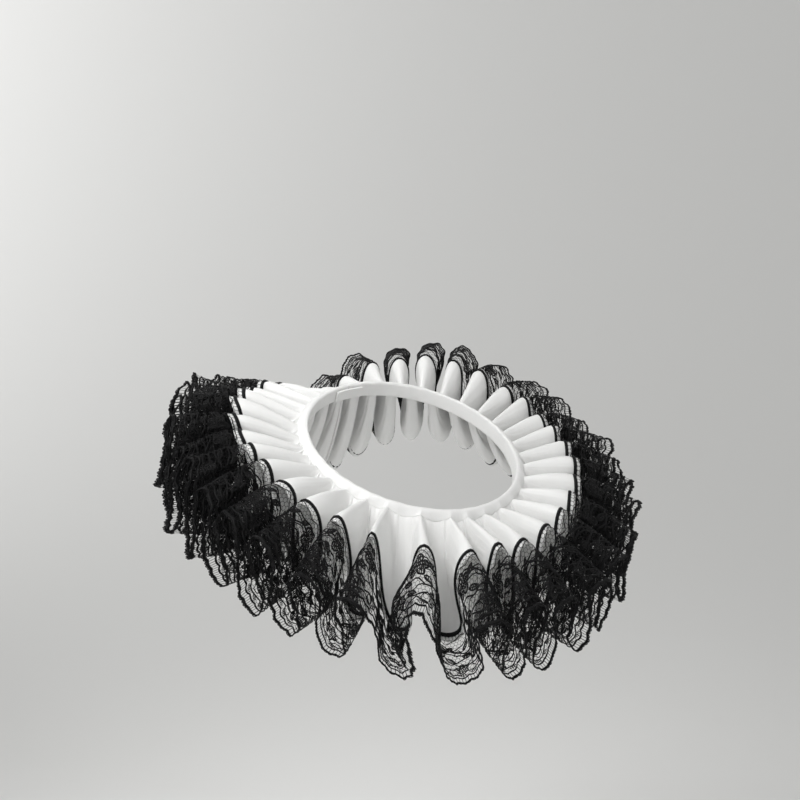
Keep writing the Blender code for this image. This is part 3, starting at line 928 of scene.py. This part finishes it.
# %% The chart
Scroll = namedtuple("Scroll", "reach swing waves turn weight")
SCROLLS = (
    Scroll(4.6, 1.8, 3, 4.0, 0.55),
    Scroll(9.6, 1.7, 2, 2.0, 0.85),
    Scroll(12.6, 1.9, 2, 0.9, 0.7),
    Scroll(15.6, 3.2, 1, 0.0, 1.0),
    Scroll(17.6, 3.0, 1, 0.1, 0.7),
    Scroll(21.6, 2.0, 2, 3.4, 0.9),
    Scroll(25.2, 1.5, 3, 1.2, 0.75),
    Scroll(28.8, 1.5, 2, 5.0, 0.9),
)
SCROLL_STEPS = 28
SCROLL_RIPPLE = 0.35              # a smaller wave on each stem, as a share of its own
Flower = namedtuple("Flower", "along reach size turn")
FLOWERS = (
    Flower(0.23, 22.6, 7.6, 0.35),
    Flower(0.73, 13.0, 6.6, 1.1),
    Flower(0.50, 27.4, 4.0, 0.2),
    Flower(0.96, 28.4, 3.8, 0.9),
)
PETALS = 5
PETAL_WAIST = 0.46                # where two petals meet, as a share of the flower's size
PETAL_FULLNESS = 0.65
EYE_SIZE = 0.2
VEIN_ENDS = (0.34, 0.76)
LARGE_FLOWER = 5.0                # the size from which a flower has an eye and veins
EYE_STEPS = 7
Leaf = namedtuple("Leaf", "root_along root_reach tip_along tip_reach width")
LEAVES = (
    Leaf(0.00, 18.0, 0.11, 22.5, 2.8),
    Leaf(0.03, 14.5, 0.14, 11.0, 2.6),
    Leaf(0.18, 12.0, 0.28, 9.5, 2.4),
    Leaf(0.33, 14.0, 0.43, 11.0, 2.4),
    Leaf(0.37, 19.5, 0.48, 21.5, 2.8),
    Leaf(0.36, 27.0, 0.43, 31.5, 2.6),
    Leaf(0.52, 14.0, 0.60, 9.5, 2.2),
    Leaf(0.56, 19.0, 0.67, 23.0, 3.0),
    Leaf(0.62, 27.0, 0.74, 29.5, 2.6),
    Leaf(0.80, 19.5, 0.92, 22.0, 3.0),
    Leaf(0.84, 13.0, 0.93, 9.0, 2.8),
)
LEAF_STEPS = 6
LEAF_FULLNESS = 0.85
MIDRIB_LENGTH = 0.8
Mesh = namedtuple("Mesh", "along reach size")
WIDE_MESHES = (
    Mesh(0.13, 29.0, 3.2),
    Mesh(0.31, 31.5, 2.8),
    Mesh(0.60, 33.0, 2.6),
    Mesh(0.855, 31.5, 2.8),
    Mesh(0.16, 16.5, 2.4),
    Mesh(0.97, 15.0, 2.2),
)
MESH_SIDES = 6
WEIGHT = {"petals": 1.1, "small petals": 0.85, "eye": 0.85, "vein": 0.65, "leaf": 0.9,
          "midrib": 0.6, "mesh": 0.65, "loop": 0.75}


def on_chart(along, reach):
    """A charted place in millimetres along the repeat and from the neckband."""
    return np.array([along * REPEAT, SATIN_REACH + reach])


# %% Lines of the chart
Thread = namedtuple("Thread", "points weight closed")


def petal_reach(around, turn):
    """How far a flower's outline lies from its middle, as a share of its size."""
    petal = np.abs(np.cos(0.5 * PETALS * (around - turn))) ** PETAL_FULLNESS
    return PETAL_WAIST + (1.0 - PETAL_WAIST) * petal


def around_points(middle, reach, steps):
    """Points of a closed line round a middle."""
    around = np.linspace(0.0, math.tau, steps, endpoint=False)
    reaches = reach(around) if callable(reach) else reach
    return np.stack([middle[0] + reaches * np.cos(around),
                     middle[1] + reaches * np.sin(around)], 1)


def flower_threads(flower):
    """The lines of a flower: its petals, and in a large one its eye and the petals' veins."""
    middle = on_chart(flower.along, flower.reach)
    large = flower.size > LARGE_FLOWER
    outline = around_points(middle,
                            lambda around: flower.size * petal_reach(around, flower.turn),
                            PETALS * (8 if large else 5))
    if not large:
        return [Thread(outline, WEIGHT["small petals"], True)]
    eye = around_points(middle, EYE_SIZE * flower.size, EYE_STEPS)
    made = [Thread(outline, WEIGHT["petals"], True), Thread(eye, WEIGHT["eye"], True)]
    for petal in range(PETALS):
        way = flower.turn + math.tau * petal / PETALS
        direction = np.array([math.cos(way), math.sin(way)]) * flower.size
        vein = np.array([middle + direction * share for share in VEIN_ENDS])
        made.append(Thread(vein, WEIGHT["vein"], False))
    return made


def leaf_ends(leaf):
    """Root and tip of a leaf, and the direction across it."""
    root = on_chart(leaf.root_along, leaf.root_reach)
    tip = on_chart(leaf.tip_along, leaf.tip_reach)
    along_leaf = tip - root
    across = np.array([-along_leaf[1], along_leaf[0]]) / np.linalg.norm(along_leaf)
    return root, tip, across


def leaf_threads(leaf):
    """The lines of a leaf: its outline and its midrib."""
    root, tip, across = leaf_ends(leaf)
    share = np.linspace(0.0, 1.0, LEAF_STEPS)
    spine = root + share[:, None] * (tip - root)
    swell = (0.5 * leaf.width * np.sin(math.pi * share ** LEAF_FULLNESS))[:, None] * across
    sides = np.concatenate([spine + swell, (spine - swell)[-2:0:-1]])
    rib = np.array([root, root + MIDRIB_LENGTH * (tip - root)])
    return [Thread(sides, WEIGHT["leaf"], True), Thread(rib, WEIGHT["midrib"], False)]


def scroll_thread(scroll):
    """The line of a waving stem over one repeat."""
    along = np.linspace(0.0, REPEAT, SCROLL_STEPS + 1)
    around = math.tau * along / REPEAT
    reach = scroll.reach + scroll.swing * np.sin(scroll.waves * around + scroll.turn)
    reach += (SCROLL_RIPPLE * scroll.swing
              * np.sin((2 * scroll.waves + 1) * around + 2.0 * scroll.turn))
    return Thread(np.stack([along, SATIN_REACH + reach], 1), scroll.weight, False)


scroll_lines = [scroll_thread(scroll) for scroll in SCROLLS]
flower_lines = [line for flower in FLOWERS for line in flower_threads(flower)]
leaf_lines = [line for leaf in LEAVES for line in leaf_threads(leaf)]
leaf_lines += [Thread(around_points(on_chart(mesh.along, mesh.reach), mesh.size, MESH_SIDES),
                      WEIGHT["mesh"], True) for mesh in WIDE_MESHES]
print("lines in one repeat:", len(flower_lines), "and", len(leaf_lines))

# %% Lines of the border
Border = namedtuple("Border", "inwards height scallops weight steps")
BORDERS = (
    Border(0.0, SCALLOP_HEIGHT, 1.0, 1.6, 48),
    Border(4.8, 1.1, 1.0, 1.15, 48),
    Border(8.6, 1.7, 2.0, 0.85, 32),
)
LOOPS_IN_SCALLOP = 3
LOOP_SIZE = 1.1
LOOP_LIFT = 0.3                   # from the scallops' line to a loop's feet
LOOP_FULLNESS = 0.7
LOOP_STEPS = 5
border_lines = []
for border_line in BORDERS:
    along = np.linspace(0.0, REPEAT, border_line.steps + 1)
    reach = scalloped(along, LACE_EDGE - border_line.inwards, border_line.height,
                      border_line.scallops)
    border_lines.append(Thread(np.stack([along, reach], 1), border_line.weight, False))
for loop in range(SCALLOPS_IN_REPEAT * LOOPS_IN_SCALLOP):
    share = np.linspace(0.0, 1.0, LOOP_STEPS)
    along = (loop + share) * SCALLOP / LOOPS_IN_SCALLOP
    reach = scalloped(along, LACE_EDGE + LOOP_LIFT, SCALLOP_HEIGHT)
    reach = reach + LOOP_SIZE * np.sin(math.pi * share) ** LOOP_FULLNESS
    border_lines.append(Thread(np.stack([along, reach], 1), WEIGHT["loop"], False))
print("lines of the border:", len(border_lines))

# %% [markdown]
# ## Threads
#
# A curve with a bevel is Blender's own thread: a line of points becomes a round strand, and
# each line keeps its own weight through the points' radius. One repeat is made that way,
# turned into a mesh, copied along the strip by an Array modifier, and gathered like the rest.

# %% Thread maker
THREAD_RADIUS = 0.54              # of a thread of weight 1
THREAD_FLATNESS = 0.6             # a thread laid on a net is wider than it is high


def repeat_and_gather(piece, finish):
    """Copy one flat repeat along the whole lace, gather it and give it its finish."""
    select_only([piece])
    copies = piece.modifiers.new("repeats", "ARRAY")
    copies.count = REPEATS
    copies.use_relative_offset = False
    copies.use_constant_offset = True
    copies.constant_offset_displace = (REPEAT, 0.0, 0.0)
    bpy.ops.object.modifier_apply(modifier=copies.name)
    gather(piece, LACE_MEASURE, lace_relief)
    dress(piece, finish)
    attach(piece, "root")
    piece.data.calc_loop_triangles()
    print(piece.name, "triangles:", len(piece.data.loop_triangles))


def thread_piece(name, threads, finish):
    """Strands along the chart's lines, for the whole length of the lace."""
    curve, piece = new_curve(name)
    curve.bevel_depth = THREAD_RADIUS
    curve.bevel_resolution = 0
    for thread in threads:
        add_line(curve, thread.points, thread.closed, thread.weight)
    piece = as_mesh(piece)
    points = flat_points(piece)
    points[:, 2] *= THREAD_FLATNESS
    move_points(piece, points)
    repeat_and_gather(piece, finish)
    return piece


thread_finish, tree, shader = new_finish("black nylon thread")
nylon(shader)
place = add_node(tree, "ShaderNodeAttribute", attribute_name="cloth").outputs["Vector"]
ply = add_node(tree, "ShaderNodeTexWave",
               {"Vector": place, "Scale": 0.5}, bands_direction="DIAGONAL")
bump = add_node(tree, "ShaderNodeBump",
                {"Height": ply.outputs["Fac"], "Strength": 0.5, "Distance": 0.0001})
set_inputs(shader, {"Normal": bump.outputs["Normal"]})

# %% Flower, leaf and border threads
scroll_piece = thread_piece("lace_scrolls", scroll_lines, thread_finish)
flower_piece = thread_piece("lace_flowers", flower_lines, thread_finish)
leaf_piece = thread_piece("lace_leaves", leaf_lines, thread_finish)
border_piece = thread_piece("lace_border", border_lines, thread_finish)

# %% [markdown]
# ## Clothwork
#
# Between their outlines the petals and leaves are filled with clothwork. It is woven so
# closely that it reads as nearly solid black, with a little light in its grain. Each shape
# starts as a flat disc that is cut finely enough to follow the folds, and the disc's edge is
# then pulled out to the petal's or the leaf's outline.

# %% Clothwork shapes
CLOTHWORK_HEIGHT = 0.12
BORDER_FILL = Leaf(0.12, 6.6, 0.88, 5.2, 2.4)   # in scallops, and inwards from the edge
LEAF_POINT = 0.25                 # over 0 a leaf's ends are pointed
LEAF_DISC = (10, 1)               # sides and cuts of the disc that becomes a leaf
BORDER_DISC = (8, 1)


def disc(vertices, cuts):
    """A flat disc of radius 1, cut across as often as cuts says, made the active object."""
    bpy.ops.object.select_all(action="DESELECT")
    bpy.ops.mesh.primitive_circle_add(vertices=vertices, radius=1.0, fill_type="TRIFAN")
    bpy.ops.object.mode_set(mode="EDIT")
    bpy.ops.mesh.subdivide(number_cuts=cuts)
    bpy.ops.object.mode_set(mode="OBJECT")
    return bpy.context.object


def fill_disc(piece, place_of):
    """Move a disc's vertices to where place_of puts their angle and their share outwards."""
    points = flat_points(piece)
    around = np.arctan2(points[:, 1], points[:, 0])
    share = np.hypot(points[:, 0], points[:, 1])
    points[:, 0], points[:, 1] = place_of(around, share)
    points[:, 2] = CLOTHWORK_HEIGHT
    move_points(piece, points)
    return piece


def leaf_place(root, tip, width):
    """The function that pulls a disc out to a leaf between two points."""
    middle = 0.5 * (root + tip)
    half = 0.5 * (tip - root)
    across = np.array([-half[1], half[0]]) / np.linalg.norm(half)

    def place(around, share):
        lengthwise = share * np.cos(around)
        sideways = 0.5 * width * share * np.sin(around) * np.abs(np.sin(around)) ** LEAF_POINT
        return [middle[axis] + lengthwise * half[axis] + sideways * across[axis]
                for axis in (0, 1)]
    return place


def flower_place(flower):
    """The function that pulls a disc out to a flower."""
    middle = on_chart(flower.along, flower.reach)

    def place(around, share):
        reach = share * flower.size * petal_reach(around, flower.turn)
        return middle[0] + reach * np.cos(around), middle[1] + reach * np.sin(around)
    return place


# %% Clothwork piece
fills = []
for flower in FLOWERS:
    large = flower.size > LARGE_FLOWER
    fills.append(fill_disc(disc(PETALS * (6 if large else 3), 2 if large else 1),
                           flower_place(flower)))
for leaf in LEAVES:
    root, tip = leaf_ends(leaf)[:2]
    fills.append(fill_disc(disc(*LEAF_DISC), leaf_place(root, tip, leaf.width)))
for scallop in range(SCALLOPS_IN_REPEAT):
    root = np.array([(scallop + BORDER_FILL.root_along) * SCALLOP,
                     LACE_EDGE - BORDER_FILL.root_reach])
    tip = np.array([(scallop + BORDER_FILL.tip_along) * SCALLOP,
                    LACE_EDGE - BORDER_FILL.tip_reach])
    fills.append(fill_disc(disc(*BORDER_DISC), leaf_place(root, tip, BORDER_FILL.width)))
select_only(fills)
bpy.ops.object.join()
clothwork = bpy.context.object
clothwork.name = "lace_clothwork"

clothwork_finish, tree, shader = new_finish("black nylon clothwork")
nylon(shader)
place = add_node(tree, "ShaderNodeAttribute", attribute_name="cloth").outputs["Vector"]
weave = add_node(tree, "ShaderNodeTexWave",
                 {"Vector": place, "Scale": 0.3, "Distortion": 3.0}, bands_direction="X")
patchy = add_node(tree, "ShaderNodeTexNoise", {"Vector": place, "Scale": 0.45, "Detail": 2.0})
dense = add_node(tree, "ShaderNodeMath", {0: weave.outputs["Fac"], 1: patchy.outputs["Fac"]},
                 operation="ADD")
fill_alpha = add_node(tree, "ShaderNodeMapRange",
                      {"Value": dense.outputs[0], "From Min": 0.55, "From Max": 1.15,
                       "To Min": 0.12, "To Max": 0.95})
set_inputs(shader, {"Alpha": fill_alpha.outputs["Result"]})
repeat_and_gather(clothwork, clothwork_finish)

# %% [markdown]
# ## Heading
#
# The lace is sewn to the satin along its heading, a dense narrow braid. In the photo it is
# the boldest line of all: it draws every fold of the seam. It is made as a flat strip with a
# rounded section, a little over two millimetres wide, that lies over the join on both sides.

# %% Heading
HEADING_WIDTH = 2.3
HEADING_HEIGHT = 1.4
HEADING_MIDDLE = SATIN_REACH + 0.3
HEADING_SIDES = 8
HEADING_COLUMNS = PLEAT_COUNT * 52
heading = flat_strip("lace_heading", LACE_LENGTH, 0.0, 1.0, HEADING_COLUMNS, HEADING_SIDES)
points = flat_points(heading)
round_turn = math.tau * points[:, 1]
points[:, 1] = HEADING_MIDDLE + 0.5 * HEADING_WIDTH * np.cos(round_turn)
points[:, 2] = -0.5 * HEADING_HEIGHT * np.sin(round_turn)
move_points(heading, points)
gather(heading, LACE_MEASURE, lace_relief)
close_mesh(HEADING_SIDES)
dress(heading, thread_finish)
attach(heading, "root")
print("heading faces:", len(heading.data.polygons))

# %% [markdown]
# ## What the cloth was cut from
#
# The satin is cut so that its inner edge is short and its outer edge long, in curved pieces
# joined end to end, and the lace is a straight strip. Both sizes are measured here on the
# folded shape, and are what a maker would buy.

# %% Measuring the cloth
MEASURED_PLEAT = 20
MEASURED_STEPS = 80


def measured_width(strip, far_reach):
    """The satin's width from the neckband to a reach, along one fold, in millimetres."""
    reach = np.linspace(0.0, far_reach, MEASURED_STEPS)
    points = ruffle_point(np.full_like(reach, strip), reach)
    return float(np.linalg.norm(np.diff(points, axis=0), axis=1).sum())


hem_reach = SATIN_REACH + HEM_UNDER_LACE
crest_width = measured_width(MEASURED_PLEAT + 0.5, hem_reach)
valley_width = measured_width(MEASURED_PLEAT, hem_reach)
hem_length = measured_strip(hem_reach)[1][-1]
band_length = measured_strip(0.0)[1][-1]

# %% [markdown]
# ## Seeing through the net
#
# Where the pleats overlap, light passes through many layers of net, so the renderer is let see
# through that many transparent layers.

# %% Net layers seen through
NET_LAYERS_SEEN_THROUGH = 48
scene.cycles.transparent_max_bounces = NET_LAYERS_SEEN_THROUGH
